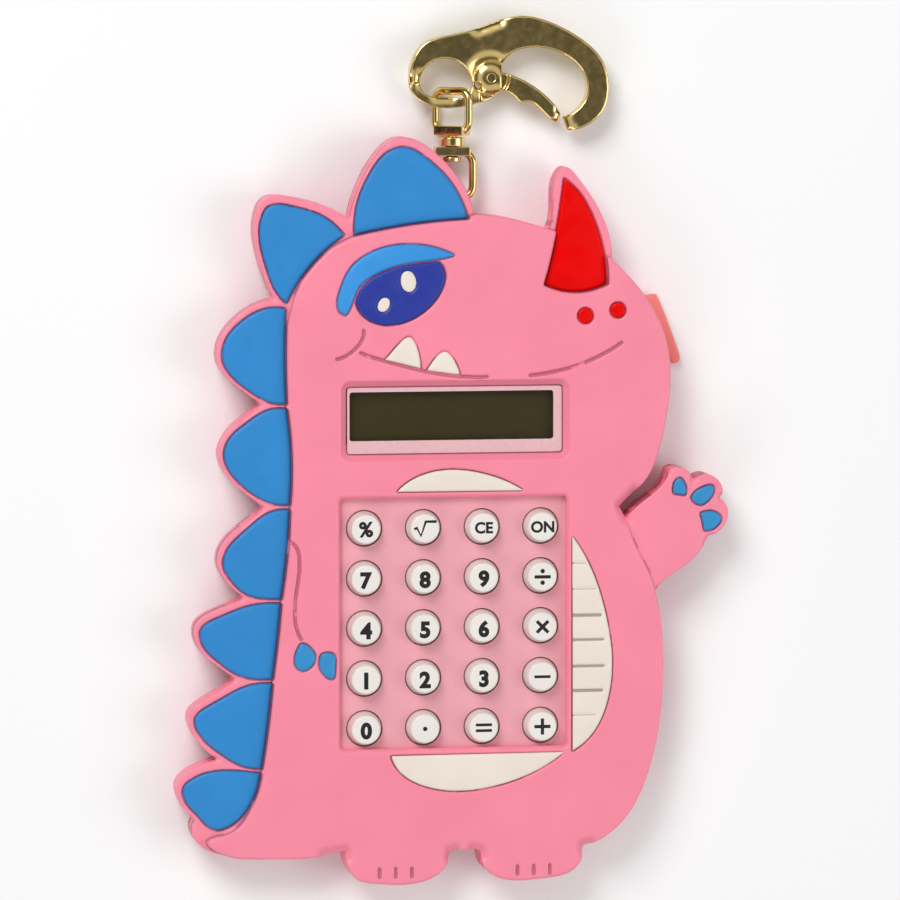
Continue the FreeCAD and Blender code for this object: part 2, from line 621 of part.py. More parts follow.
rear = new_body("module_back")
s = sketch(rear, "back_t")
rect(s, MW, ML, 0, MY, r=P("mod_cnr"))
pad(rear, s, "split_z-back_t")
s = sketch(rear, "back_z")
g = 2 * (P("lip") + P("lip_gap"))
rect(s, MW - g, ML - g, 0, MY, r=P("mod_cnr"))
pad(rear, s, "back_t-back_z+0.2")
s = sketch(rear, "back_z+shell_t+1.2")
rect(s, MW - 2 * P("wall_t"), ML - 2 * P("wall_t"), 0, MY, r=P("mod_cnr") - P("wall_t"))
pocket(rear, s, "split_z-back_z", up=True)
s = sketch(rear, "back_z+shell_t")
rect(s, MW - g - 2.0, ML - g - 2.0, 0, MY, r=P("mod_cnr") - 1.0)
pocket(rear, s, "split_z-back_z", up=True)

DOOR_X0 = P("cell_x") - 7.0
DOOR_X1 = P("cell_x") + 13.6
DOOR_Y = P("cell_y") * SY
DOOR_L = 12.8
SCREW_X = P("cell_x") + 10.9
s = sketch(rear, "back_z")
rect(s, DOOR_X1 - DOOR_X0, DOOR_L, (DOOR_X0 + DOOR_X1) / 2, DOOR_Y, r=0.8)
pocket(rear, s, "shell_t", up=True)
s = sketch(rear, "back_z+shell_t")
rect(s, 7.8, DOOR_L + 1.6, P("cell_x") + 11.4, DOOR_Y)
pad(rear, s, 0.8)
s = sketch(rear, "back_z+shell_t")
circle(s, SCREW_X, DOOR_Y, 1.8)
pad(rear, s, 2.0)
s = sketch(rear, "back_z")
circle(s, SCREW_X, DOOR_Y, "screw_r+fit")
pocket(rear, s, 2.8, up=True)
s = sketch(rear, "back_z")
for x, y in BOSS:
    circle(s, x, y, 2.2)
pad(rear, s, "split_z-back_z+0.35")
s = sketch(rear, "back_z")
for x, y in BOSS:
    circle(s, x, y, 1.75)
pocket(rear, s, 1.4, up=True)
s = sketch(rear, "back_z")
for x, y in BOSS:
    circle(s, x, y, 1.0)
pocket(rear, s, 4.4, up=True)

door = new_body("battery_door")
s = sketch(door, "back_z")
rect(s, DOOR_X1 - DOOR_X0 - 0.4, DOOR_L - 0.4, (DOOR_X0 + DOOR_X1) / 2, DOOR_Y, r=0.6)
pad(door, s, "shell_t-0.05")
s = sketch(door, "back_z")
circle(s, SCREW_X, DOOR_Y, 1.5)
pocket(door, s, 0.5, up=True)
s = sketch(door, "back_z")
circle(s, SCREW_X, DOOR_Y, "screw_r+fit")
pocket(door, s, "shell_t", up=True)
s = sketch(door, "back_z")
for i in range(4):
    rect(s, 0.6, 7.0, P("cell_x") - 4.8 + 1.4 * i, DOOR_Y)
pocket(door, s, 0.25, up=True)


def screw(b, x, y, z, head_r, head_t, r, length):
    # A pan-head screw pointing up, with a cross slot under its head.
    s = sketch(b, z)
    circle(s, x, y, head_r)
    pad(b, s, head_t)
    s = sketch(b, z)
    circle(s, x, y, r)
    pad(b, s, length)
    s = sketch(b, z)
    w = head_r * 1.2
    k = 0.14
    pts = [(-w, -k), (-k, -k), (-k, -w), (k, -w), (k, -k), (w, -k),
           (w, k), (k, k), (k, w), (-k, w), (-k, k), (-w, k)]
    pts = [(x + px / 2, y + py / 2) for px, py in pts]
    curve(s, [[pts[i], pts[(i + 1) % 12]] for i in range(12)])
    pocket(b, s, head_t * 0.6, up=True)


door_screw = new_body("door_screw")
screw(door_screw, SCREW_X, DOOR_Y, P("back_z") + 0.05, 1.4, 0.45, P("screw_r"), 2.5)

case_screws = new_body("case_screws")
for x, y in BOSS:
    screw(case_screws, x, y, P("back_z") + 0.6, 1.7, 0.8, 0.75, 5.4)

# ---------------------------------------------------------------- display
bezel = new_body("display_frame")
s = sketch(bezel, "mod_top")
rect(s, P("scr_w") * SX - 0.4, P("scr_l") * SY - 0.4, P("scr_x") * SX, P("scr_y") * SY, r=0.5)
rect(s, "view_w", "view_l", "lcd_x", P("lcd_y") * SY, r=0.5)
pad(bezel, s, "frame_t")
lens = new_body("display_lens")
s = sketch(lens, "mod_top-lens_t")
rect(s, "lens_w-2*fit", "lens_l-2*fit", "lcd_x", P("lcd_y") * SY)
pad(lens, s, "lens_t")
glass = new_body("display_glass")
s = sketch(glass, "mod_top-shell_t-glass_t")
rect(s, "glass_w", "glass_l", "lcd_x", P("lcd_y") * SY)
pad(glass, s, "glass_t")
strip = new_body("contact_strip")
s = sketch(strip, "pcb_z+pcb_t")
rect(s, 18.0, 1.4, 8.6, P("lcd_y") * SY - P("glass_l") / 2 + 1.0)
pad(strip, s, "mod_top-shell_t-glass_t-pcb_z-pcb_t")

# ---------------------------------------------------------------- board, mat, cell
board = new_body("circuit_board")
s = sketch(board, "pcb_z")
rect(s, MW - 2 * P("wall_t") - 0.6, ML - 7.0 * SY, 0, MY + 1.9 * SY, r=1.0)
pad(board, s, "pcb_t")
s = sketch(board, "pcb_z")
circle(s, "cell_x", DOOR_Y, P("cell_d") / 2 + 0.9)
for x, y in BOSS:
    circle(s, x, y, 2.5)
pocket(board, s, "pcb_t", up=True)

blob = new_body("chip_blob")
s = sketch(blob, P("pcb_z") - 1.1)
circle(s, 6.0, -6.0 * SY, 4.2)
pad(blob, s, 1.1)

mat = new_body("key_mat")
s = sketch(mat, "pcb_z+pcb_t")
rect(s, 41.6 * SX, 41.0 * SY, 0, (P("row_one") - 2 * P("pitch_y")) * SY, r=1.5)
pad(mat, s, "mat_t")
s = sketch(mat, "pcb_z+pcb_t+mat_t")
for x in KEY_X:
    for y in KEY_Y:
        circle(s, x, y, "nub_r")
pad(mat, s, "key_top-key_roof-key_go-0.1-pcb_z-pcb_t-mat_t")

battery = new_body("button_cell")
s = sketch(battery, "back_z+shell_t+0.1")
circle(s, "cell_x", DOOR_Y, P("cell_d") / 2)
pad(battery, s, "cell_t-0.25")
s = sketch(battery, "back_z+shell_t+cell_t-0.2")
circle(s, "cell_x", DOOR_Y, P("cell_d") / 2 - 1.2)
pad(battery, s, 0.25)

contacts = new_body("cell_contacts")
s = sketch(contacts, "pcb_z+pcb_t")
rect(s, 3.0, 13.8, "cell_x", DOOR_Y)
pad(contacts, s, 0.25)
s = sketch(contacts, "back_z+shell_t+0.8")
rect(s, 0.35, 5.0, P("cell_x") + P("cell_d") / 2 + 0.3, DOOR_Y)
pad(contacts, s, 1.4)

# ---------------------------------------------------------------- keys
ROWS = ["percent root clear on", "7 8 9 divide", "4 5 6 times", "1 2 3 minus", "0 point equals plus"]
KEY_NAMES = [r.split() for r in ROWS]
for j in range(5):
    for i in range(4):
        k = new_body("key_" + KEY_NAMES[j][i])
        s = sketch(k, "mod_top-shell_t-0.05-skirt_t")
        circle(s, KEY_X[i], KEY_Y[j], "key_r+key_skirt")
        pad(k, s, "skirt_t")
        s = sketch(k, "mod_top-shell_t-0.05-skirt_t")
        circle(s, KEY_X[i], KEY_Y[j], "key_r")
        pad(k, s, "key_top-mod_top+shell_t+skirt_t+0.05-0.35")
        s = sketch(k, "key_top-0.35")
        circle(s, KEY_X[i], KEY_Y[j], "key_tip_r")
        pad(k, s, 0.35)
        s = sketch(k, "mod_top-shell_t-0.05-skirt_t")
        circle(s, KEY_X[i], KEY_Y[j], "key_bore")
        pocket(k, s, "key_top-mod_top+shell_t+skirt_t+0.05-key_roof", up=True)

# ---------------------------------------------------------------- hardware
CX = P("chain_x")
CZ = P("chain_z")
W = P("wire_r")


def wire(runs, r):
    # A round wire that follows a flat closed or open path in the x-y plane.
    edges = []
    for pts in runs:
        vs = [V(x, y, 0) for x, y in pts]
        if len(vs) == 2:
            edges.append(Part.makeLine(vs[0], vs[1]))
        else:
            edges.append(Part.Arc(vs[0], vs[1], vs[2]).toShape())
    path = Part.Wire(edges)
    first = runs[0][0]
    second = runs[0][1]
    d = V(second[0] - first[0], second[1] - first[1], 0)
    c = Part.Wire([Part.makeCircle(r, V(first[0], first[1], 0), d)])
    return path.makePipeShell([c], True, True, 2)


def rounded(x0, y0, x1, y1, k):
    # A closed rounded path that starts in the middle of its lower side.
    q = k * (1 - math.sqrt(0.5))
    xm = (x0 + x1) / 2
    return [
        [(xm, y0), (x1 - k, y0)],
        [(x1 - k, y0), (x1 - q, y0 + q), (x1, y0 + k)],
        [(x1, y0 + k), (x1, y1 - k)],
        [(x1, y1 - k), (x1 - q, y1 - q), (x1 - k, y1)],
        [(x1 - k, y1), (x0 + k, y1)],
        [(x0 + k, y1), (x0 + q, y1 - q), (x0, y1 - k)],
        [(x0, y1 - k), (x0, y0 + k)],
        [(x0, y0 + k), (x0 + q, y0 + q), (x0 + k, y0)],
        [(x0 + k, y0), (xm, y0)],
    ]


def feature(label, shape):
    f = doc.addObject("Part::Feature", label)
    f.Label = label
    f.Shape = shape
    NODES.append(f)
    return f


LUG = P("lug_y") * SY
LOOP_Y = P("loop_y") * SY
half = P("loop_w") / 2
ring = wire(rounded(-half, LUG, half, LOOP_Y, 2.2), W)
ring.translate(V(CX, 0, CZ))
plate = Part.makeBox(6.0, 1.5, 3.0, V(CX - 3.0, LOOP_Y - 0.75, CZ - 1.5))
hole = Part.makeCylinder(P("post_r") + P("fit"), 4.0, V(CX, LOOP_Y - 2, CZ), V(0, 1, 0))
feature("lower_loop", ring.fuse(plate).cut(hole).removeSplitter())

LOW = P("link_low") * SY
HIGH = P("link_high") * SY
post = Part.makeCylinder(P("post_r"), LOW - LOOP_Y + 1.8, V(0, LOOP_Y - 1.8, 0), V(0, 1, 0))
head = Part.makeCylinder(1.6, 0.8, V(0, LOOP_Y - 0.95 - 0.8, 0), V(0, 1, 0))
collar = Part.makeCylinder(2.2, 1.5, V(0, LOOP_Y + 0.9, 0), V(0, 1, 0))
half = P("link_w") / 2
link = wire(rounded(-half, LOW, half, HIGH, 1.6), W)
foot = Part.makeBox(6.0, 1.6, 2.4, V(-3.0, LOW - 0.8, -1.2))
for piece in (link, foot, post, head, collar):
    piece.rotate(V(0, 0, 0), V(0, 1, 0), -P("link_turn"))
    piece.translate(V(CX, 0, CZ))
feature("swivel_link", link.fuse([foot, post, head, collar]).removeSplitter())

# Lobster clasp: a hook with an eye at its left end, and a sprung gate.
HOOK = [
    [(-6.9, 82.0), (-6.2, 85.6), (-4.4, 88.2), (-0.6, 89.6), (4.0, 90.6),
     (8.6, 92.2), (13.2, 92.9), (18.0, 91.6), (23.0, 88.8), (26.3, 85.4),
     (27.4, 81.0), (26.6, 77.0), (23.6, 74.2), (20.4, 73.4)],
    [(20.4, 73.4), (19.6, 75.8)],
    [(19.6, 75.8), (22.2, 77.2), (23.6, 79.4), (23.4, 82.4), (21.4, 85.2),
     (18.0, 87.0), (14.0, 87.5), (10.6, 86.5), (9.0, 84.0)],
    [(9.0, 84.0), (9.0, 80.6)],
    [(9.0, 80.6), (7.2, 79.0), (4.2, 77.9), (0.6, 77.3), (-3.4, 77.8), (-5.9, 79.4),
     (-6.9, 82.0)],
]
EYE_HOLE = [
    [(-4.9, 82.0), (-4.4, 80.1), (-2.4, 79.2), (0.6, 79.1), (3.2, 79.3), (4.0, 80.8),
     (3.6, 83.0), (1.6, 85.1), (-1.6, 85.6), (-4.0, 84.3), (-4.9, 82.0)],
]
UP = 80.2 * (SY - 1)


def shifted(runs):
    return [[(x, y + UP) for x, y in run] for run in runs]


clasp = new_body("clasp_body")
s = sketch(clasp, CZ - P("clasp_t") / 2)
curve(s, shifted(HOOK))
pad(clasp, s, "clasp_t")
s = sketch(clasp, CZ - P("clasp_t") / 2)
curve(s, shifted(EYE_HOLE))
pocket(clasp, s, "clasp_t", up=True)
thin = (P("clasp_t") - P("band_t")) / 2
for z in (CZ - P("clasp_t") / 2, CZ + P("band_t") / 2):
    s = sketch(clasp, z)
    rect(s, 13.6, 5.4, -1.4, 78.9 + UP)
    pocket(clasp, s, thin, up=True)
GX = P("gate_x")
GY = P("gate_y") + UP
s = sketch(clasp, CZ - 0.9)
circle(s, GX, GY, 2.9)
pocket(clasp, s, 1.8, up=True)
s = sketch(clasp, CZ - P("clasp_t") / 2)
circle(s, GX, GY, "pin_r")
pocket(clasp, s, "clasp_t", up=True)

GATE = [
    [(GX - 1.5, GY - 1.2), (GX - 1.9, GY), (GX - 1.3, GY + 1.4), (GX, GY + 1.9),
     (GX + 1.6, GY + 1.0)],
    [(GX + 1.6, GY + 1.0), (GX + 4.0, GY + 0.3), (GX + 7.0, GY - 1.2), (GX + 10.0, GY - 3.6),
     (GX + 12.0, GY - 6.1)],
    [(GX + 12.0, GY - 6.1), (GX + 11.3, GY - 7.7)],
    [(GX + 11.3, GY - 7.7), (GX + 8.8, GY - 5.7), (GX + 6.2, GY - 4.1), (GX + 5.1, GY - 4.2),
     (GX + 4.2, GY - 3.4), (GX + 2.4, GY - 2.3), (GX, GY - 1.9), (GX - 1.5, GY - 1.2)],
]
gate = new_body("clasp_gate")
s = sketch(gate, CZ - P("clasp_t") / 2)
curve(s, GATE)
pad(gate, s, "clasp_t")
for z in (CZ - P("clasp_t") / 2, CZ + 0.8):
    s = sketch(gate, z)
    circle(s, GX, GY, 3.0)
    pocket(gate, s, P("clasp_t") / 2 - 0.8, up=True)
s = sketch(gate, CZ - 0.8)
circle(s, GX, GY, "pin_r+fit")
pocket(gate, s, 1.6, up=True)

pin = doc.addObject("Part::Cylinder", "gate_pin")
pin.Label = "gate_pin"
pin.setExpression("Radius", "Sizes.pin_r")
pin.setExpression("Height", "Sizes.clasp_t")
pin.Placement = FreeCAD.Placement(V(GX, GY, CZ - P("clasp_t") / 2), FreeCAD.Rotation())
NODES.append(pin)

# ---------------------------------------------------------------- export
# The shared frame's origin is the middle of the footprint, on the desk.
for obj in NODES:
    if obj is pin:
        obj.Placement.Base = V(GX - P("mid_x"), GY - P("mid_y") * SY, CZ - P("clasp_t") / 2)
        continue
    obj.Placement = FreeCAD.Placement(V(-P("mid_x"), -P("mid_y") * SY, 0), FreeCAD.Rotation())
    obj.setExpression("Placement.Base.x", "-Sizes.mid_x")
    obj.setExpression("Placement.Base.y", "-Sizes.mid_y * Sizes.fig_l / 126.8")
doc.recompute()
for obj in doc.Objects:
    state = " ".join(obj.State)
    if "Invalid" in state or "Error" in state:
        raise RuntimeError("bad state: " + obj.Label)
os.makedirs("parts", exist_ok=True)
for obj in NODES:
    if obj.Shape.isNull() or not obj.Shape.isValid():
        raise RuntimeError("bad shape: " + obj.Label)
    obj.Shape.exportStep("parts/" + obj.Label + ".step")
    print(obj.Label, len(obj.Shape.Solids), round(obj.Shape.Volume, 1))
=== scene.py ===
import json
import math

import bmesh
import bpy
import numpy as np
from mathutils import Matrix, Vector, kdtree
from bpy.props import FloatProperty, FloatVectorProperty, IntProperty, PointerProperty


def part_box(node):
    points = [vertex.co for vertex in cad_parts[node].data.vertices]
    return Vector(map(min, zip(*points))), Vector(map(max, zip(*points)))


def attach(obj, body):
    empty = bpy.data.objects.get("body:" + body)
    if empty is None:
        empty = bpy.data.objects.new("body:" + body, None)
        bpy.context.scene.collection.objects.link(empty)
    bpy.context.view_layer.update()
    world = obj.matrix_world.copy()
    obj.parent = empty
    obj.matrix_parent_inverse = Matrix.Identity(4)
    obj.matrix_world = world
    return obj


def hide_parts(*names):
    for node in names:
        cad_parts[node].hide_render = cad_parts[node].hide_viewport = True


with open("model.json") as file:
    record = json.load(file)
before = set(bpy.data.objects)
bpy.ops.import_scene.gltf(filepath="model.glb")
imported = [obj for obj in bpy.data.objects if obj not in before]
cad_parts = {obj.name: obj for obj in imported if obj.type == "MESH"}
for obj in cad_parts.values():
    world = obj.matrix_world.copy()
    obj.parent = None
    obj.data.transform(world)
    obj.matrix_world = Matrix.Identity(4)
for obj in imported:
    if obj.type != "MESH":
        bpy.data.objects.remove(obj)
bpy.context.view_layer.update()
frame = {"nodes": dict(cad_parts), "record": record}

bl_info = {
    "name": "Dinosaur pocket calculator",
    "version": (1, 0, 0),
    "blender": (4, 5, 0),
    "location": "3D View > Sidebar > Calculator",
    "description": "Builds the soft sleeve, fills, keys, display and clasp around the frame",
    "category": "Object",
}

NODES = frame["nodes"]
BODY_OF = {}
for body_name, node_names in frame["record"]["behaviour"]["bodies"].items():
    for node_name in node_names:
        BODY_OF[node_name] = body_name
MM = 0.001
LEVEL = 0.05 * MM  # heights closer than this count as one level
FIN_STEP = 1.6 * MM  # the fins' and horn's face lies this far below the body's
ARM_STEP = 0.8 * MM  # the raised arm's face lies this far below the body's
EDGES = ((0, 1), (1, 2), (2, 0))  # a triangle's edges, by corner
KEY_NODES = [n for n in NODES if n.startswith("key_") and n != "key_mat"]
WORDS = {"percent": "%", "clear": "CE", "on": "ON"}
CAPS = {"percent": 0.92, "clear": 0.69, "on": 0.69}  # their heights, as shares of a digit's
# Marks drawn as strokes, in digit heights: lines of points, then round dots.
STROKES = {
    "plus": ([[(-0.48, 0), (0.48, 0)], [(0, -0.48), (0, 0.48)]], []),
    "minus": ([[(-0.48, 0), (0.48, 0)]], []),
    "equals": ([[(-0.48, 0.17), (0.48, 0.17)], [(-0.48, -0.17), (0.48, -0.17)]], []),
    "times": ([[(-0.34, -0.34), (0.34, 0.34)], [(-0.34, 0.34), (0.34, -0.34)]], []),
    "divide": ([[(-0.48, 0), (0.48, 0)]], [(0, 0.34), (0, -0.34)]),
    "point": ([], [(0, 0)]),
    "root": ([[(-0.66, -0.02), (-0.50, 0.06), (-0.26, -0.42), (0.02, 0.42), (0.66, 0.42)]], []),
}


# ------------------------------------------------------------------ settings
def colour(name, text, value):
    return FloatVectorProperty(name=name, description=text, default=value,
                               subtype="COLOR", size=3, min=0.0, max=1.0)


def length(name, text, value):
    return FloatProperty(name=name, description=text, default=value, min=0.0,
                         unit="LENGTH", subtype="DISTANCE")


class CALC_PG_colours(bpy.types.PropertyGroup):
    """Colours of the vinyl, plastic and metal."""
    pink: colour("Pink vinyl", "Sleeve and back cover", (0.98, 0.27, 0.375))
    # The line colour is painted shade: it darkens the vinyl in grooves, creases and at the steps
    # between body and fills, where shade falls.
    line: colour("Line tint", "Grooves and the edges of the fills", (0.10, 0.010, 0.045))
    blue: colour("Blue vinyl", "Fin fills", (0.020, 0.25, 0.62))
    brow: colour("Brow blue", "Brow", (0.035, 0.31, 0.76))
    claw: colour("Claw blue", "Claws", (0.03, 0.28, 0.60))
    eye: colour("Eye blue", "Iris of the eye", (0.016, 0.035, 0.33))
    red: colour("Red vinyl", "Horn and nostrils", (0.82, 0.0, 0.0))
    cream: colour("Cream vinyl", "Belly, teeth and glints", (0.88, 0.78, 0.68))
    tab: colour("Tab pink", "Side tab", (0.93, 0.25, 0.22))
    case: colour("Case pink", "Hard module case", (0.84, 0.38, 0.44))
    frame: colour("Frame pink", "Display frame", (0.80, 0.50, 0.53))
    key: colour("Key white", "Key caps", (0.88, 0.83, 0.78))
    ink: colour("Key ink", "Printed key marks", (0.006, 0.006, 0.006))
    panel: colour("Display", "Unlit display", (0.050, 0.040, 0.013))
    gold: colour("Gold plate", "Chain and clasp", (0.80, 0.60, 0.24))
    floor: colour("Floor", "Plain floor", (0.97, 0.97, 0.97))


class CALC_PG_sizes(bpy.types.PropertyGroup):
    """Sizes of the soft shapes."""
    grid: length("Sleeve grid", "Mesh size of the soft sleeve", 0.19 * MM)
    fill_grid: length("Fill grid", "Mesh size of the coloured fills", 0.17 * MM)
    metal_grid: length("Metal grid", "Mesh size of the cast clasp", 0.17 * MM)
    body_round: length("Body rounding", "Round on the body's outer edge", 2.0 * MM)
    fin_round: length("Fin rounding", "Round on the fins' outer edge", 0.7 * MM)
    step_round: length("Step rounding", "Round where body meets fins", 0.45 * MM)
    window_round: length("Window rounding", "Round on the window edges", 0.9 * MM)
    crown: length("Crown", "How far the body domes", 0.5 * MM)
    fill_dome: length("Fill dome", "How far each fill's edge falls", 0.45 * MM)
    legend: length("Digit height", "Height of the printed digits", 2.9 * MM)
    stroke: length("Stroke width", "Width of the printed strokes", 0.62 * MM)
    ink_rise: length("Ink rise", "How far the printed marks stand up", 0.045 * MM)
    mark_grid: length("Mark grid", "Mesh size of the printed marks", 0.05 * MM)
    lens_mm: FloatProperty(name="Focal length", description="Camera lens", default=259.0,
                           min=1.0, unit="CAMERA")
    smooth: IntProperty(name="Smoothing", description="Smoothing passes", default=3, min=0)


# ------------------------------------------------------------------ mesh tools
def link(obj):
    bpy.context.scene.collection.objects.link(obj)
    return obj


def node_mesh(node):
    """A node's own mesh as arrays of points and triangles."""
    mesh = NODES[node].data
    pts = np.empty(len(mesh.vertices) * 3)
    mesh.vertices.foreach_get("co", pts)
    pts = pts.reshape(-1, 3)
    mesh.calc_loop_triangles()
    tris = np.empty(len(mesh.loop_triangles) * 3, dtype=np.int64)
    mesh.loop_triangles.foreach_get("vertices", tris)
    return pts, tris.reshape(-1, 3)


def walls(node, step=0.25 * MM):
    """Points along a node's upright walls, each with the wall's low and high z."""
    pts, tris = node_mesh(node)
    a, b, c = pts[tris[:, 0]], pts[tris[:, 1]], pts[tris[:, 2]]
    n = np.cross(b - a, c - a)
    size = np.linalg.norm(n, axis=1)
    upright = np.abs(n[:, 2]) < 0.05 * np.maximum(size, 1e-15)
    upright &= size > 1e-13
    rows = []
    for p in np.stack([a, b, c], axis=1)[upright]:
        z0 = p[:, 2].min()
        z1 = p[:, 2].max()
        if z1 - z0 < LEVEL:
            continue
        xy = p[:, :2]
        d = [np.linalg.norm(xy[i] - xy[j]) for i, j in EDGES]
        k = int(np.argmax(d))
        i, j = EDGES[k]
        count = max(2, int(d[k] / step) + 2)
        for t in np.linspace(0, 1, count):
            q = xy[i] * (1 - t) + xy[j] * t
            rows.append((q[0], q[1], z0, z1))
    return np.array(rows)


def distance(tops, pts, reach):
    """Distance in plan from each point to the nearest wall point, up to reach."""
    tree = kdtree.KDTree(len(tops))
    for i, row in enumerate(tops):
        tree.insert((row[0], row[1], 0.0), i)
    tree.balance()
    out = np.full(len(pts), reach)
    for i, p in enumerate(pts):
        found = tree.find((p[0], p[1], 0.0))[2]
        if found < reach:
            out[i] = found
    return out


def fall(d, r):
    """How far a quarter round of radius r has dropped at distance d from the edge."""
    x = np.clip(1.0 - d / r, 0.0, 1.0)
    return r * (1.0 - np.sqrt(np.maximum(0.0, 1.0 - x * x)))


def evaluated(obj, name):
    deps = bpy.context.evaluated_depsgraph_get()
    mesh = bpy.data.meshes.new_from_object(obj.evaluated_get(deps))
    mesh.name = name
    return mesh


def bake(obj):
    """Turns an object's modifiers into its own mesh."""
    mesh = evaluated(obj, obj.name)
    old = obj.data
    obj.modifiers.clear()
    obj.data = mesh
    bpy.data.meshes.remove(old)


def remeshed(node, name, grid, smooth):
    """A fine even copy of a node's solid."""
    obj = link(bpy.data.objects.new(name, NODES[node].data.copy()))
    obj.data.materials.clear()
    weld = obj.modifiers.new("weld", "WELD")
    weld.merge_threshold = 1e-6
    mod = obj.modifiers.new("grid", "REMESH")
    mod.mode = "VOXEL"
    mod.voxel_size = grid
    mod.use_smooth_shade = True
    soft = obj.modifiers.new("soft", "SMOOTH")
    soft.factor = 0.5
    soft.iterations = smooth
    bake(obj)
    return obj


def get_points(obj):
    pts = np.empty(len(obj.data.vertices) * 3)
    obj.data.vertices.foreach_get("co", pts)
    return pts.reshape(-1, 3)


def set_points(obj, pts):
    obj.data.vertices.foreach_set("co", pts.ravel())
    obj.data.update()
    obj.data.polygons.foreach_set("use_smooth", [True] * len(obj.data.polygons))


def rounded(obj, rows, rules):
    """Rounds upper edges. Each rule is (test on wall rows, radius, crown, reach)."""
    pts = get_points(obj)
    drop = np.zeros(len(pts))
    for test, radius, crown, reach in rules:
        tops = rows[test(rows)]
        if not len(tops):
            continue
        top = tops[:, 3].max()
        low = top - max(radius * 1.6, 0.3 * MM)
        pick = np.where((pts[:, 2] > low) & (pts[:, 2] < top + 0.2 * MM))[0]
        d = distance(tops, pts[pick], reach)
        t = np.clip((pts[pick, 2] - low) / (top - low), 0.0, 1.0)
        h = fall(d, radius) + crown * np.clip(1.0 - d / reach, 0.0, 1.0) ** 2
        drop[pick] = np.maximum(drop[pick], h * t)
    pts[:, 2] -= drop
    set_points(obj, pts)


# Where a wall leaves a line of painted shade. Each row gives the wall's least and greatest height,
# the line's reach from the wall, its strength (a share), and the depths below the wall's top
# between which it shows. All but the strength are in mm.
CREASE_SHADE = (
    (0.35, 0.45, 0.30, 0.6, 0.10, 0.60),  # lines across the belly
    (0.52, 0.575, 0.34, 0.42, 0.12, 0.75),  # mouth, arm and toe grooves
    (0.575, 0.65, 0.22, 0.4, 0.12, 0.75),  # beds of the fills
    (1.55, 1.64, 0.30, 0.4, 1.1, 1.75),  # foot of the body's step
    (2.1, 2.4, 0.25, 0.6, 0.7, 2.3),  # where a fin's bed meets the body's step
)


def paint_crease_shade(obj, rows):
    """Gives each point its share of the painted shade line in grooves and at steps, as the
    attribute that the vinyl reads.
    """
    pts = get_points(obj)
    mark = np.zeros(len(pts))
    deep = rows[:, 3] - rows[:, 2]
    fade = 0.08 * MM
    for top in np.unique(np.round(rows[:, 3] / MM, 2)) * MM:
        level = np.abs(rows[:, 3] - top) < 0.4 * LEVEL
        for low, high, reach, strength, start, end in CREASE_SHADE:
            tops = rows[level & (deep > low * MM) & (deep < high * MM)]
            if not len(tops):
                continue
            sunk = (pts[:, 2] < top - start * MM) & (pts[:, 2] > top - end * MM)
            pick = np.where(sunk)[0]
            d = distance(tops, pts[pick], 1 * MM)
            value = strength * np.clip((reach * MM - d) / fade, 0.0, 1.0)
            mark[pick] = np.maximum(mark[pick], value)
    layer = obj.data.attributes.new("line", "FLOAT", "POINT")
    layer.data.foreach_set("value", mark)


def settle(obj, times=2):
    """A last light smoothing of the moved mesh."""
    mod = obj.modifiers.new("settle", "SMOOTH")
    mod.factor = 0.5
    mod.iterations = times
    bake(obj)
    obj.data.polygons.foreach_set("use_smooth", [True] * len(obj.data.polygons))


def carry(obj, node, mat):
    """Puts a detailed piece in its node's place."""
    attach(obj, BODY_OF[node])
    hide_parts(node)
    obj.data.materials.clear()
    obj.data.materials.append(mat)


# ------------------------------------------------------------------ finishes
def shader(name):
    """A material, with its tree and main shader the first time it is asked for."""
    name = "finish_" + name
    mat = bpy.data.materials.get(name)
    if mat:
        return mat, None, None
    mat = bpy.data.materials.new(name)
    mat.use_nodes = True
    return mat, mat.node_tree, mat.node_tree.nodes["Principled BSDF"]


def add_node(tree, kind, **values):
    """A shader node. Each value goes to the input of that name, or else to the property."""
    n = tree.nodes.new(kind)
    for key, value in values.items():
        if key in n.inputs:
            n.inputs[key].default_value = value
        else:
            setattr(n, key, value)
    return n


def grain(tree, bsdf, scale, depth, detail=4.0):
    """Fine moulded grain as a bump. Returns the coordinates that the other textures share."""
    place = add_node(tree, "ShaderNodeTexCoord")
    noise = add_node(tree, "ShaderNodeTexNoise", Scale=scale, Detail=detail)
    bump = add_node(tree, "ShaderNodeBump", Strength=0.35, Distance=depth)
    tree.links.new(place.outputs["Object"], noise.inputs["Vector"])
    tree.links.new(noise.outputs["Fac"], bump.inputs["Height"])
    tree.links.new(bump.outputs["Normal"], bsdf.inputs["Normal"])
    return place


def mottle(tree, bsdf, place, base, amount, scale):
    """A slight cloudy change of colour, as in moulded vinyl."""
    cloud = add_node(tree, "ShaderNodeTexNoise", Scale=scale, Detail=3.0)
    ramp = add_node(tree, "ShaderNodeValToRGB")
    tree.links.new(place.outputs["Object"], cloud.inputs["Vector"])
    tree.links.new(cloud.outputs["Fac"], ramp.inputs["Fac"])
    dark = [max(0.0, c * (1 - amount)) for c in base]
    pale = [min(1.0, c * (1 + amount)) for c in base]
    ramp.color_ramp.elements[0].position = 0.3
    ramp.color_ramp.elements[1].position = 0.7
    ramp.color_ramp.elements[0].color = (*dark, 1)
    ramp.color_ramp.elements[1].color = (*pale, 1)
    tree.links.new(ramp.outputs["Color"], bsdf.inputs["Base Color"])
    return ramp


def gloss(tree, bsdf, place, low, high, scale):
    """Roughness that wanders between low and high."""
    spots = add_node(tree, "ShaderNodeTexNoise", Scale=scale, Detail=5.0)
    spread = add_node(tree, "ShaderNodeMapRange")
    spread.inputs["From Min"].default_value = 0.3
    spread.inputs["From Max"].default_value = 0.7
    spread.inputs["To Min"].default_value = low
    spread.inputs["To Max"].default_value = high
    tree.links.new(place.outputs["Object"], spots.inputs["Vector"])
    tree.links.new(spots.outputs["Fac"], spread.inputs["Value"])
    tree.links.new(spread.outputs["Result"], bsdf.inputs["Roughness"])


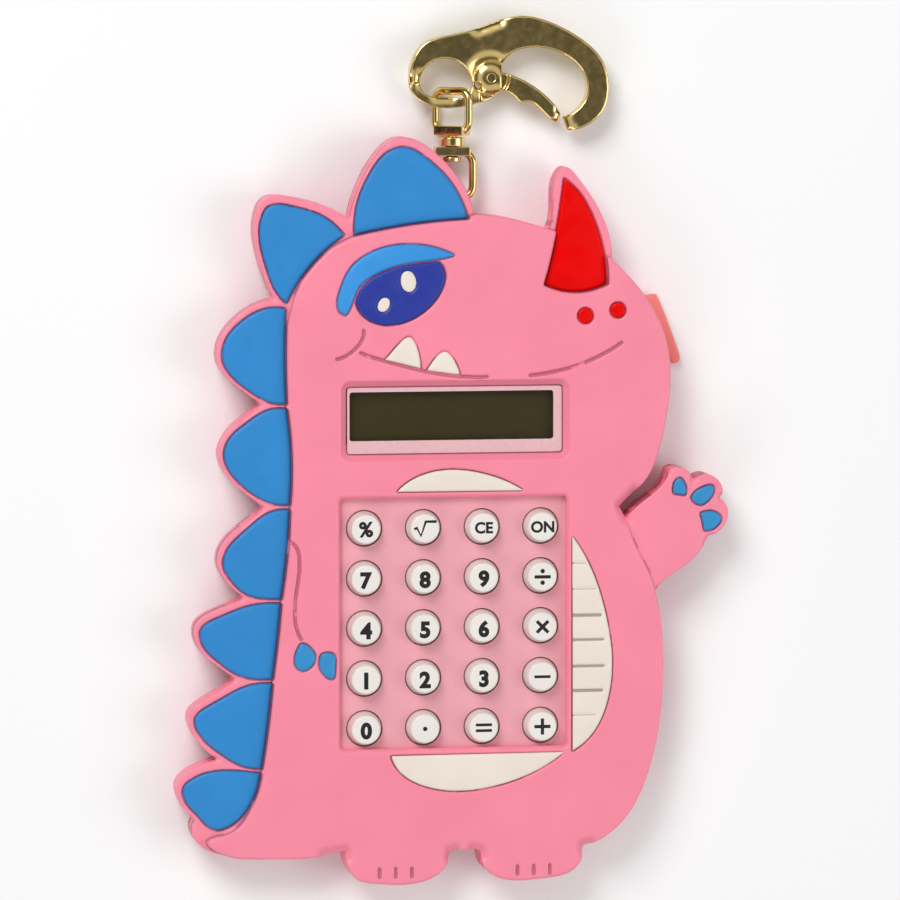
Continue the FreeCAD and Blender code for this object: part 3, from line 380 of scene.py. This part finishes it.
def vinyl(name, base, soft, low=0.36, high=0.50, line=None, shine=0.45):
    """Soft moulded vinyl with a satin skin, and painted shade darkening it along the marked
    grooves and steps.
    """
    mat, tree, bsdf = shader(name)
    if tree is None:
        return mat
    place = grain(tree, bsdf, scale=2600.0, depth=0.04 * MM)
    ramp = mottle(tree, bsdf, place, base, amount=0.035, scale=90.0)
    gloss(tree, bsdf, place, low, high, scale=400.0)
    # Mixes in the line colour as painted shade where the line attribute marks grooves and steps.
    if line:
        mark = add_node(tree, "ShaderNodeAttribute", attribute_name="line")
        mix = tree.nodes.new("ShaderNodeMix")
        mix.data_type = "RGBA"
        sockets = {s.identifier: s for s in mix.inputs}
        sockets["B_Color"].default_value = (*line, 1)
        tree.links.new(mark.outputs["Fac"], sockets["Factor_Float"])
        tree.links.new(ramp.outputs["Color"], sockets["A_Color"])
        tree.links.new(mix.outputs[2], bsdf.inputs["Base Color"])
    bsdf.inputs["Subsurface Weight"].default_value = soft
    bsdf.inputs["Subsurface Radius"].default_value = (1.2 * MM, 0.6 * MM, 0.5 * MM)
    bsdf.inputs["Subsurface Scale"].default_value = 1.0
    bsdf.inputs["Specular IOR Level"].default_value = shine
    return mat


def plastic(name, base, low=0.28, high=0.40, scale=3200.0):
    """Hard moulded plastic with a fine spark texture."""
    mat, tree, bsdf = shader(name)
    if tree is None:
        return mat
    place = grain(tree, bsdf, scale, depth=0.03 * MM)
    mottle(tree, bsdf, place, base, amount=0.02, scale=120.0)
    gloss(tree, bsdf, place, low, high, scale=700.0)
    return mat


def metal(name, base, low=0.10, high=0.24):
    """Plated metal with faint polishing marks."""
    mat, tree, bsdf = shader(name)
    if tree is None:
        return mat
    place = grain(tree, bsdf, scale=500.0, depth=0.02 * MM, detail=6.0)
    mottle(tree, bsdf, place, base, amount=0.10, scale=260.0)
    gloss(tree, bsdf, place, low, high, scale=900.0)
    bsdf.inputs["Metallic"].default_value = 1.0
    return mat


def glass(name, base):
    """Thin clear plastic over the display."""
    mat, tree, bsdf = shader(name)
    if tree is None:
        return mat
    place = grain(tree, bsdf, scale=900.0, depth=0.004 * MM)
    gloss(tree, bsdf, place, low=0.04, high=0.10, scale=300.0)
    bsdf.inputs["Base Color"].default_value = (*base, 1)
    bsdf.inputs["Transmission Weight"].default_value = 1.0
    bsdf.inputs["IOR"].default_value = 1.3
    bsdf.inputs["Alpha"].default_value = 0.35
    return mat


def finish(kind):
    """The material of one kind: its maker, base colour and other looks."""
    c = bpy.context.scene.calc_colours
    makers = {
        # The pink vinyl's line colour is painted shade in its grooves and at its steps.
        "pink_vinyl": (vinyl, c.pink, dict(soft=0.10, line=c.line)),
        "blue_vinyl": (vinyl, c.blue, dict(soft=0.05, low=0.40, high=0.55)),
        "brow_vinyl": (vinyl, c.brow, dict(soft=0.05, low=0.35, high=0.50)),
        "claw_vinyl": (vinyl, c.claw, dict(soft=0.05, low=0.35, high=0.50)),
        "eye_vinyl": (vinyl, c.eye, dict(soft=0.03)),
        "red_vinyl": (vinyl, c.red, dict(soft=0.02, low=0.30, high=0.45, shine=0.14)),
        # The cream vinyl's line colour is painted shade in the belly grooves.
        "cream_vinyl": (vinyl, c.cream, dict(soft=0.10, line=(0.09, 0.045, 0.03))),
        "tab_vinyl": (vinyl, c.tab, dict(soft=0.10)),
        "mat_grey": (vinyl, (0.30, 0.30, 0.30), dict(soft=0.0, low=0.60, high=0.75)),
        "case_plastic": (plastic, c.case, dict()),
        "frame_plastic": (plastic, c.frame, dict(low=0.22, high=0.34)),
        "key_plastic": (plastic, c.key, dict(low=0.26, high=0.36)),
        "key_ink": (plastic, c.ink, dict(low=0.40, high=0.50)),
        "display_panel": (plastic, c.panel, dict(low=0.16, high=0.24, scale=1200.0)),
        "board_green": (plastic, (0.01, 0.10, 0.03), dict(low=0.35, high=0.50)),
        "chip_black": (plastic, (0.01, 0.01, 0.01), dict(low=0.40, high=0.60)),
        "gold_plate": (metal, c.gold, dict()),
        "steel_plate": (metal, (0.62, 0.61, 0.59), dict(low=0.22, high=0.36)),
        "clear_lens": (glass, (0.95, 0.94, 0.88), dict()),
    }
    maker, base, looks = makers[kind]
    return maker(kind, base, **looks)


def dress(node_name, kind):
    """Gives a node its material, and leaves its mesh as it is."""
    obj = NODES[node_name]
    mat = finish(kind)
    if not obj.material_slots:
        obj.data.materials.append(mat)
    for slot_row in obj.material_slots:
        slot_row.material = mat


# ------------------------------------------------------------------ operators
class CALC_OT_sleeve(bpy.types.Operator):
    """Make the soft pink sleeve"""
    bl_idname = "calc.sleeve"
    bl_label = "Sleeve"

    def execute(self, context):
        s = context.scene.calc_sizes
        obj = remeshed("sleeve", "soft_sleeve", s.grid, 2)
        rows = walls("sleeve")
        # Marks painted shade along the sleeve's grooves and steps.
        paint_crease_shade(obj, rows)

        def tall(z, low, high):
            """Test for walls whose top is at z and whose height in mm is between the two."""
            return lambda r: ((np.abs(r[:, 3] - z) < LEVEL) & (r[:, 3] - r[:, 2] > low * MM)
                              & (r[:, 3] - r[:, 2] < high * MM))

        body = rows[:, 3].max()
        fins = body - FIN_STEP
        arm = body - ARM_STEP
        step_crown = s.crown * 0.4
        rounded(obj, rows, [
            (tall(body, 5, 12), s.body_round, s.crown, 9 * MM),
            (tall(body, 1.3, 1.65), s.step_round, step_crown, 6 * MM),
            (tall(body, 0.7, 0.95), s.step_round, 0.0, 3 * MM),
            (tall(body, 2.0, 2.4), s.step_round, step_crown, 6 * MM),
            (tall(body, 1.65, 2), s.window_round, 0.0, 3 * MM),
            (tall(body, 0.3, 0.65), 0.22 * MM, 0.0, 1 * MM),
            (tall(fins, 2, 12), s.fin_round, 0.0, 3 * MM),
            (tall(fins, 0.3, 0.7), 0.3 * MM, 0.0, 1 * MM),
            (tall(arm, 5, 12), s.fin_round * 1.3, 0.2 * MM, 4 * MM),
            (tall(arm, 0.3, 0.7), 0.25 * MM, 0.0, 1 * MM),
        ])
        settle(obj, s.smooth)
        carry(obj, "sleeve", finish("pink_vinyl"))
        return {"FINISHED"}


def soft_fill(node_name, name, kind, s, edge=None):
    """A domed fill in its bed. The edge is how far its rim falls."""
    obj = remeshed(node_name, name, s.fill_grid, 2)
    rows = walls(node_name)
    # Marks painted shade along the fill's grooves and edges.
    paint_crease_shade(obj, rows)
    top = rows[:, 3].max()
    r = edge or s.fill_dome
    rounded(obj, rows, [(lambda q: q[:, 3] > top - LEVEL, r, r * 0.45, 3.2 * MM)])
    settle(obj)
    carry(obj, node_name, finish(kind))


class CALC_OT_back(bpy.types.Operator):
    """Make the soft back cover and the side tab"""
    bl_idname = "calc.back"
    bl_label = "Back cover and tab"

    def execute(self, context):
        s = context.scene.calc_sizes
        back = remeshed("back_cover", "soft_back_cover", s.grid * 1.1, 2)
        carry(back, "back_cover", finish("pink_vinyl"))
        tab = remeshed("side_tab", "soft_side_tab", s.fill_grid, 4)
        carry(tab, "side_tab", finish("tab_vinyl"))
        return {"FINISHED"}


class CALC_OT_fins(bpy.types.Operator):
    """Make the blue fin fills and the red horn fill"""
    bl_idname = "calc.fins"
    bl_label = "Fin and horn fills"

    def execute(self, context):
        s = context.scene.calc_sizes
        soft_fill("spike_pads", "fin_fills", "blue_vinyl", s)
        soft_fill("horn_pad", "horn_fill", "red_vinyl", s)
        return {"FINISHED"}


class CALC_OT_face(bpy.types.Operator):
    """Make the brow, eye, glints, teeth and nostrils"""
    bl_idname = "calc.face"
    bl_label = "Face"

    def execute(self, context):
        s = context.scene.calc_sizes
        soft_fill("brow_pad", "brow_fill", "brow_vinyl", s)
        soft_fill("eye_pad", "eye_fill", "eye_vinyl", s, 0.3 * MM)
        soft_fill("eye_glints", "eye_glint_fills", "cream_vinyl", s, 0.2 * MM)
        soft_fill("teeth", "tooth_fills", "cream_vinyl", s, 0.35 * MM)
        soft_fill("nostrils", "nostril_fills", "red_vinyl", s, 0.3 * MM)
        return {"FINISHED"}


class CALC_OT_claws(bpy.types.Operator):
    """Make the claws of the raised hand and the lowered arm"""
    bl_idname = "calc.claws"
    bl_label = "Claws"

    def execute(self, context):
        s = context.scene.calc_sizes
        soft_fill("hand_claws", "hand_claw_fills", "claw_vinyl", s, 0.35 * MM)
        soft_fill("arm_claws", "arm_claw_fills", "claw_vinyl", s, 0.35 * MM)
        return {"FINISHED"}


class CALC_OT_belly(bpy.types.Operator):
    """Make the three cream belly patches"""
    bl_idname = "calc.belly"
    bl_label = "Belly"

    def execute(self, context):
        s = context.scene.calc_sizes
        soft_fill("belly_pads", "belly_fills", "cream_vinyl", s, 0.3 * MM)
        return {"FINISHED"}


class CALC_OT_case(bpy.types.Operator):
    """Finish the hard case, its door and its screws"""
    bl_idname = "calc.case"
    bl_label = "Case"

    def execute(self, context):
        for name in ("module_front", "module_back", "battery_door"):
            dress(name, "case_plastic")
        for name in ("door_screw", "case_screws"):
            dress(name, "steel_plate")
        return {"FINISHED"}


class CALC_OT_display(bpy.types.Operator):
    """Finish the display's frame, lens and glass"""
    bl_idname = "calc.display"
    bl_label = "Display"

    def execute(self, context):
        dress("display_frame", "frame_plastic")
        dress("display_lens", "clear_lens")
        dress("display_glass", "display_panel")
        dress("contact_strip", "mat_grey")
        return {"FINISHED"}


class CALC_OT_works(bpy.types.Operator):
    """Finish the board, chip, mat, cell and contacts"""
    bl_idname = "calc.works"
    bl_label = "Inner works"

    def execute(self, context):
        dress("circuit_board", "board_green")
        dress("chip_blob", "chip_black")
        dress("key_mat", "mat_grey")
        dress("button_cell", "steel_plate")
        dress("cell_contacts", "steel_plate")
        return {"FINISHED"}


def lathe(name, profile, centre, count=64):
    """A closed turned form: profile is a list of (radius, z)."""
    mesh = bpy.data.meshes.new(name)
    bm = bmesh.new()
    rings = []
    for r, z in profile:
        if r < 1e-7:
            rings.append([bm.verts.new((centre[0], centre[1], z))])
            continue
        ring = []
        for i in range(count):
            a = 2 * math.pi * i / count
            x = centre[0] + r * math.cos(a)
            y = centre[1] + r * math.sin(a)
            ring.append(bm.verts.new((x, y, z)))
        rings.append(ring)
    for low, high in zip(rings, rings[1:]):
        for i in range(count):
            j = (i + 1) % count
            if len(low) == 1:
                bm.faces.new((low[0], high[j], high[i]))
            elif len(high) == 1:
                bm.faces.new((low[i], low[j], high[0]))
            else:
                bm.faces.new((low[i], low[j], high[j], high[i]))
    bmesh.ops.recalc_face_normals(bm, faces=bm.faces)
    bm.to_mesh(mesh)
    bm.free()
    mesh.polygons.foreach_set("use_smooth", [True] * len(mesh.polygons))
    return link(bpy.data.objects.new(name, mesh))


class CALC_OT_keys(bpy.types.Operator):
    """Make the twenty round key caps"""
    bl_idname = "calc.keys"
    bl_label = "Key caps"

    def execute(self, context):
        s = context.scene.calc_sizes
        step = 0.6 * MM  # the skirt's height
        chip = 0.05 * MM  # the small bevels
        turn = 0.4 * MM  # the round on the face's edge
        flare = 0.2 * MM  # how much wider the cap's foot is than its node's side
        arc = 8
        for name in KEY_NODES:
            low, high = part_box(name)
            cx = (low[0] + high[0]) / 2
            cy = (low[1] + high[1]) / 2
            z0 = low[2]
            z1 = high[2]
            pts = node_mesh(name)[0]
            # The cap's sizes, read from the node's own points.
            far = np.hypot(pts[:, 0] - cx, pts[:, 1] - cy)
            skirt = far.max()
            tip = far[pts[:, 2] > z1 - 0.01 * MM].max()
            above = pts[:, 2] > z0 + 1.0 * MM
            r = far[above & (far < skirt - 0.1 * MM)].max()
            bore = far[pts[:, 2] < z0 + 0.01 * MM].min()
            roof = pts[far < bore + 0.01 * MM][:, 2]
            roof = roof[roof < z1 - 0.05 * MM].max()
            r += flare
            face = z1 - s.ink_rise
            profile = [(0.0, roof), (bore - chip, roof), (bore, roof - chip), (bore, z0),
                       (skirt - chip, z0), (skirt, z0 + chip), (skirt, z0 + step - chip),
                       (skirt - chip, z0 + step), (r, z0 + step), (r, z0 + step + chip)]
            for i in range(arc + 1):
                a = math.pi / 2 * i / arc
                profile.append((tip - turn + turn * math.cos(a),
                                face - turn + turn * math.sin(a)))
            profile.append((tip * 0.4, face))
            profile.append((0.0, face))
            obj = lathe(name + "_cap", profile, (cx, cy))
            carry(obj, name, finish("key_plastic"))
        return {"FINISHED"}


def strokes(name, paths, dots, size, width, dot):
    """Round strokes and dots of a printed mark, as one curve."""
    curve = bpy.data.curves.new(name, "CURVE")
    curve.dimensions = "3D"
    curve.bevel_depth = width / 2
    curve.use_fill_caps = True
    for path in paths:
        line = curve.splines.new("POLY")
        line.points.add(len(path) - 1)
        for point, (x, y) in zip(line.points, path):
            point.co = (x * size, y * size, 0, 1)
    for x, y in dots:
        line = curve.splines.new("POLY")
        line.points.add(1)
        for point, z in zip(line.points, (-0.5, 0.5)):
            point.co = (x * size, y * size, z * width, 1)
            point.radius = dot / width
    return curve


def lettering(name, text, width):
    """A word in the built-in font, with its strokes made bolder."""
    curve = bpy.data.curves.new(name, "FONT")
    curve.body = text
    curve.size = 4.0 * MM
    curve.extrude = 0.05 * MM
    curve.bevel_depth = width
    curve.bevel_resolution = 2
    curve.resolution_u = 8
    return curve


class CALC_OT_legends(bpy.types.Operator):
    """Print the mark on each key"""
    bl_idname = "calc.legends"
    bl_label = "Key marks"

    def execute(self, context):
        s = context.scene.calc_sizes
        ink = finish("key_ink")
        drop = 0.15 * MM  # how far below the key's middle a digit is printed
        for name in KEY_NODES:
            word = name[len("key_"):]
            if word in STROKES:
                paths, dots = STROKES[word]
                width = s.stroke * (0.8 if word in ("root", "minus", "equals") else 0.95)
                curve = strokes(name + "_mark", paths, dots, s.legend, width, s.stroke * 1.25)
                tall = 0.0
            else:
                tall = s.legend * CAPS.get(word, 1.0)
                bold = s.stroke * (0.34 if tall == s.legend else 0.24)
                curve = lettering(name + "_mark", WORDS.get(word, word), bold)
            flat = link(bpy.data.objects.new(name + "_flat", curve))
            bpy.context.view_layer.update()
            mark = link(bpy.data.objects.new(name + "_mark", evaluated(flat, name + "_mark")))
            bpy.data.objects.remove(flat)
            grid = mark.modifiers.new("grid", "REMESH")
            grid.mode = "VOXEL"
            grid.voxel_size = s.mark_grid
            settle(mark)
            low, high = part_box(name)
            pts = get_points(mark)
            if tall:
                pts[:, :2] *= tall / np.ptp(pts[:, 1])
            mid = (pts.min(axis=0) + pts.max(axis=0)) / 2
            for i in range(2):
                pts[:, i] += (low[i] + high[i]) / 2 - mid[i]
            if tall == s.legend:
                pts[:, 1] -= drop
            # Twice the rise, so that the lower half is sunk in the cap.
            thin = 2 * s.ink_rise / np.ptp(pts[:, 2])
            pts[:, 2] = high[2] + (pts[:, 2] - pts[:, 2].max()) * thin
            set_points(mark, pts)
            mark.data.materials.clear()
            mark.data.materials.append(ink)
            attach(mark, BODY_OF[name])
        return {"FINISHED"}


class CALC_OT_chain(bpy.types.Operator):
    """Finish the lower loop and the swivel link"""
    bl_idname = "calc.chain"
    bl_label = "Swivel chain"

    def execute(self, context):
        s = context.scene.calc_sizes
        for name in ("lower_loop", "swivel_link"):
            obj = remeshed(name, "cast_" + name, s.metal_grid * 0.7, 3)
            carry(obj, name, finish("gold_plate"))
        return {"FINISHED"}


class CALC_OT_clasp(bpy.types.Operator):
    """Make the cast lobster clasp, its gate and pin"""
    bl_idname = "calc.clasp"
    bl_label = "Lobster clasp"

    def execute(self, context):
        s = context.scene.calc_sizes
        reach = 1.0  # past the clasp's own size, so every point finds a wall
        # Each casting with how far in its round goes, and how far down.
        for name, r, h in (("clasp_body", 2.6 * MM, 1.2 * MM), ("clasp_gate", 1.2 * MM, 0.8 * MM)):
            obj = remeshed(name, "cast_" + name, s.metal_grid, 2)
            rows = walls(name)
            pts = get_points(obj)
            high = rows[:, 3].max()
            low = rows[:, 2].min()
            mid = (high + low) / 2
            whole = rows[(rows[:, 3] - rows[:, 2]) > 0.55 * (high - low)]
            off = np.abs(pts[:, 2] - mid) > 0.05 * (high - low)
            d = np.full(len(pts), reach)
            d[off] = distance(whole, pts[off], reach)
            t = (pts[:, 2] - mid) / ((high - low) / 2)
            pts[:, 2] -= fall(d, r) * (h / r) * t
            set_points(obj, pts)
            settle(obj, 3)
            carry(obj, name, finish("gold_plate"))
        dress("gate_pin", "gold_plate")
        return {"FINISHED"}


# Name, place, width and depth, and power in watts of each lamp.
LAMPS = (
    ("key_light", (-0.40, 0.60, 0.70), (0.45, 0.45), 5.4),
    ("fill_light", (0.75, -0.1, 0.6), (0.6, 0.6), 2.6),
    ("low_light", (-0.5, -0.7, 0.5), (0.6, 0.4), 2.0),
)
LAMP_AIM = (0, 0, 0.005)
# The room's colour by height, from the floor up to a dark patch overhead.
SKY = (
    (0.20, (0.06, 0.055, 0.05)), (0.55, (0.40, 0.40, 0.40)), (0.72, (1.3, 1.3, 1.3)),
    (0.90, (1.3, 1.3, 1.3)), (0.965, (0.22, 0.22, 0.22)),
)
SKY_POWER = 0.52
FLOOR_HALF = 1.6
FLOOR_Z = -2e-4
CAMERA_AIM = (-0.0003, 0.0002, 0.006)
CAMERA_SIDE = math.radians(-9.0)
CAMERA_RISE = math.radians(5.0)
CAMERA_AWAY = 1.1


def lamp(name, place, size, power):
    """An area lamp that faces the calculator."""
    data = bpy.data.lights.new(name, "AREA")
    data.shape = "RECTANGLE"
    data.size = size[0]
    data.size_y = size[1]
    data.energy = power
    obj = link(bpy.data.objects.new(name, data))
    obj.location = place
    way = Vector(LAMP_AIM) - Vector(place)
    obj.rotation_euler = way.to_track_quat("-Z", "Y").to_euler()


class CALC_OT_stage(bpy.types.Operator):
    """Make the floor, lights and camera"""
    bl_idname = "calc.stage"
    bl_label = "Stage"

    def execute(self, context):
        c = context.scene.calc_colours
        s = context.scene.calc_sizes
        mesh = bpy.data.meshes.new("floor")
        w, z = FLOOR_HALF, FLOOR_Z
        mesh.from_pydata([(-w, -w, z), (w, -w, z), (w, w, z), (-w, w, z)], [], [(0, 1, 2, 3)])
        floor = link(bpy.data.objects.new("floor", mesh))
        mat, tree, bsdf = shader("floor_paper")
        place = grain(tree, bsdf, scale=60.0, depth=0.2 * MM)
        mottle(tree, bsdf, place, c.floor, amount=0.01, scale=4.0)
        bsdf.inputs["Roughness"].default_value = 0.9
        floor.data.materials.append(mat)

        for row in LAMPS:
            lamp(*row)
        world = context.scene.world or bpy.data.worlds.new("soft_room")
        context.scene.world = world
        world.use_nodes = True
        tree = world.node_tree
        back = tree.nodes.get("Background")
        sky = add_node(tree, "ShaderNodeTexCoord")
        split = add_node(tree, "ShaderNodeSeparateXYZ")
        ramp = add_node(tree, "ShaderNodeValToRGB")
        tree.links.new(sky.outputs["Generated"], split.inputs["Vector"])
        tree.links.new(split.outputs["Z"], ramp.inputs["Fac"])
        tree.links.new(ramp.outputs["Color"], back.inputs["Color"])
        bands = ramp.color_ramp.elements
        for i, (at, tone) in enumerate(SKY):
            band = bands[i] if i < 2 else bands.new(at)
            band.position = at
            band.color = (*tone, 1)
        back.inputs["Strength"].default_value = SKY_POWER
        context.scene.view_settings.view_transform = "Standard"

        cam = bpy.data.cameras.new("camera")
        cam.lens = s.lens_mm
        cam.sensor_width = 36.0
        cam.clip_start = 0.01
        obj = link(bpy.data.objects.new("camera", cam))
        way = Vector((math.sin(CAMERA_SIDE), math.sin(CAMERA_RISE), 0))
        way.z = math.sqrt(1.0 - way.x ** 2 - way.y ** 2)
        obj.location = Vector(CAMERA_AIM) + way * CAMERA_AWAY
        z = way.normalized()
        x = Vector((0, 1, 0)).cross(z).normalized()
        y = z.cross(x)
        turn = np.array([x, y, z]).T
        obj.rotation_euler = Matrix(turn.tolist()).to_euler()
        context.scene.camera = obj
        return {"FINISHED"}


OPERATORS = (
    CALC_OT_sleeve, CALC_OT_back, CALC_OT_fins, CALC_OT_face, CALC_OT_claws,
    CALC_OT_belly, CALC_OT_case, CALC_OT_display, CALC_OT_works, CALC_OT_keys,
    CALC_OT_legends, CALC_OT_chain, CALC_OT_clasp, CALC_OT_stage,
)


class CALC_PT_panel(bpy.types.Panel):
    """Lists the steps that build the calculator"""
    bl_idname = "CALC_PT_panel"
    bl_label = "Pocket calculator"
    bl_space_type = "VIEW_3D"
    bl_region_type = "UI"
    bl_category = "Calculator"

    def draw(self, context):
        layout = self.layout
        for op in OPERATORS:
            layout.operator(op.bl_idname)
        for group in (context.scene.calc_sizes, context.scene.calc_colours):
            box = layout.box()
            for key in group.bl_rna.properties.keys():
                if key not in ("rna_type", "name"):
                    box.prop(group, key)


CLASSES = (CALC_PG_colours, CALC_PG_sizes) + OPERATORS + (CALC_PT_panel,)


def register():
    for cls in CLASSES:
        bpy.utils.register_class(cls)
    bpy.types.Scene.calc_colours = PointerProperty(type=CALC_PG_colours)
    bpy.types.Scene.calc_sizes = PointerProperty(type=CALC_PG_sizes)


def unregister():
    del bpy.types.Scene.calc_sizes
    del bpy.types.Scene.calc_colours
    for cls in reversed(CLASSES):
        bpy.utils.unregister_class(cls)


def main():
    register()
    for op in OPERATORS:
        group, name = op.bl_idname.split(".")
        getattr(getattr(bpy.ops, group), name)()
    bpy.context.view_layer.update()


if __name__ == "__main__":
    main()
